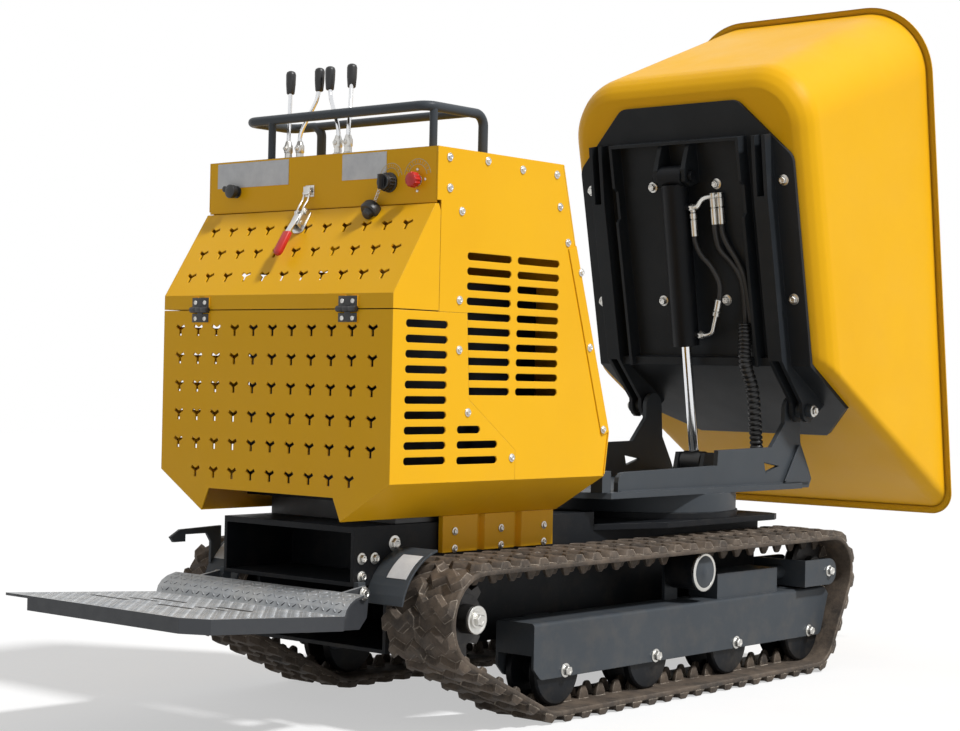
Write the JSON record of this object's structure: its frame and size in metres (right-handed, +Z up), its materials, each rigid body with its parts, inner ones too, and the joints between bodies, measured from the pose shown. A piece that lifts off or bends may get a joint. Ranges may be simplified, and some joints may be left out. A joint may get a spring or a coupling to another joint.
{
  "type": "tracked site dumper",
  "caption": "Small tracked site dumper: slewing high-tipping skip on a turret, engine cowl with control console, and a folding rear platform.",
  "frame": {"origin": "on the ground under the middle of the whole machine", "axes": "+X forward towards the skip, +Y to the left, +Z up"},
  "size_m": [2.6094, 0.78, 1.7278],
  "materials": {
    "black_steel": "satin",
    "charcoal_steel": "satin",
    "track_rubber": "dusty",
    "bare_steel": "worn",
    "yellow_paint": "gloss",
    "black_plastic": "matte",
    "hose_rubber": "matte",
    "chrome_rod": "polished",
    "deck_steel": "chequered",
    "zinc_steel": "zinc plated"
  },
  "bodies": {
    "chassis": {"chassis_frame": "black_steel", "slew_base": "black_steel", "track_frame_left": "charcoal_steel", "track_frame_right": "charcoal_steel", "track_left": "track_rubber", "track_right": "track_rubber", "road_rollers_left": "charcoal_steel", "road_rollers_right": "charcoal_steel", "sprocket_left": "bare_steel", "sprocket_right": "bare_steel", "idler_left": "bare_steel", "idler_right": "bare_steel", "fender_left": "charcoal_steel", "fender_right": "charcoal_steel", "cowl_skirt_left": "yellow_paint", "cowl_skirt_right": "yellow_paint", "side_panel_left": "yellow_paint", "side_panel_right": "yellow_paint", "rear_cover": "yellow_paint", "console": "yellow_paint", "front_panel": "yellow_paint", "engine_block": "black_steel", "engine_mounts": "black_plastic", "handrail": "charcoal_steel", "levers": "black_plastic", "controls": "black_plastic", "platform_mount": "charcoal_steel", "platform_hook": "charcoal_steel"},
    "turret": {"turret_frame": "charcoal_steel", "hose_sleeve": "black_plastic"},
    "skip": {"skip_frame": "charcoal_steel", "skip_tub": "yellow_paint", "ram_hoses": "hose_rubber"},
    "ram_barrel": {"ram_barrel": "charcoal_steel"},
    "ram_rod": {"ram_rod": "chrome_rod"},
    "platform": {"platform": "deck_steel"},
    "hatch": {"hatch": "yellow_paint", "latch": "zinc_steel"}
  },
  "joints": [
    {"name": "turret_slew", "type": "hinge", "parent": "chassis", "child": "turret", "pos_m": [0.37528, 0, 0.435], "axis": [0, 0, 1], "range_deg": [-90, 90]},
    {"name": "skip_tip", "type": "hinge", "parent": "turret", "child": "skip", "pos_m": [0.73928, 0, 0.638], "axis": [0, -1, 0], "range_deg": [0, 78.4]},
    {"name": "ram_pivot", "type": "hinge", "parent": "skip", "child": "ram_barrel", "pos_m": [0.51057, 0, 1.225], "axis": [0, -1, 0], "range_deg": [-1.38, 0]},
    {"name": "ram_slide", "type": "slide", "parent": "ram_barrel", "child": "ram_rod", "axis": [0.1629, 0, -0.9866], "range_m": [-0.22404, 0]},
    {"name": "platform_fold", "type": "hinge", "parent": "chassis", "child": "platform", "pos_m": [-0.81472, 0, 0.28], "axis": [0, 1, 0], "range_deg": [0, 70]},
    {"name": "hatch_open", "type": "hinge", "parent": "chassis", "child": "hatch", "pos_m": [-0.88072, 0, 0.834], "axis": [0, -1, 0], "range_deg": [0, 130]}
  ],
  "couplings": [
    {"joint": "ram_pivot", "follows": "skip_tip", "ratio": -0.017242},
    {"joint": "ram_slide", "follows": "skip_tip", "m_per_rad": -0.16211}
  ]
}
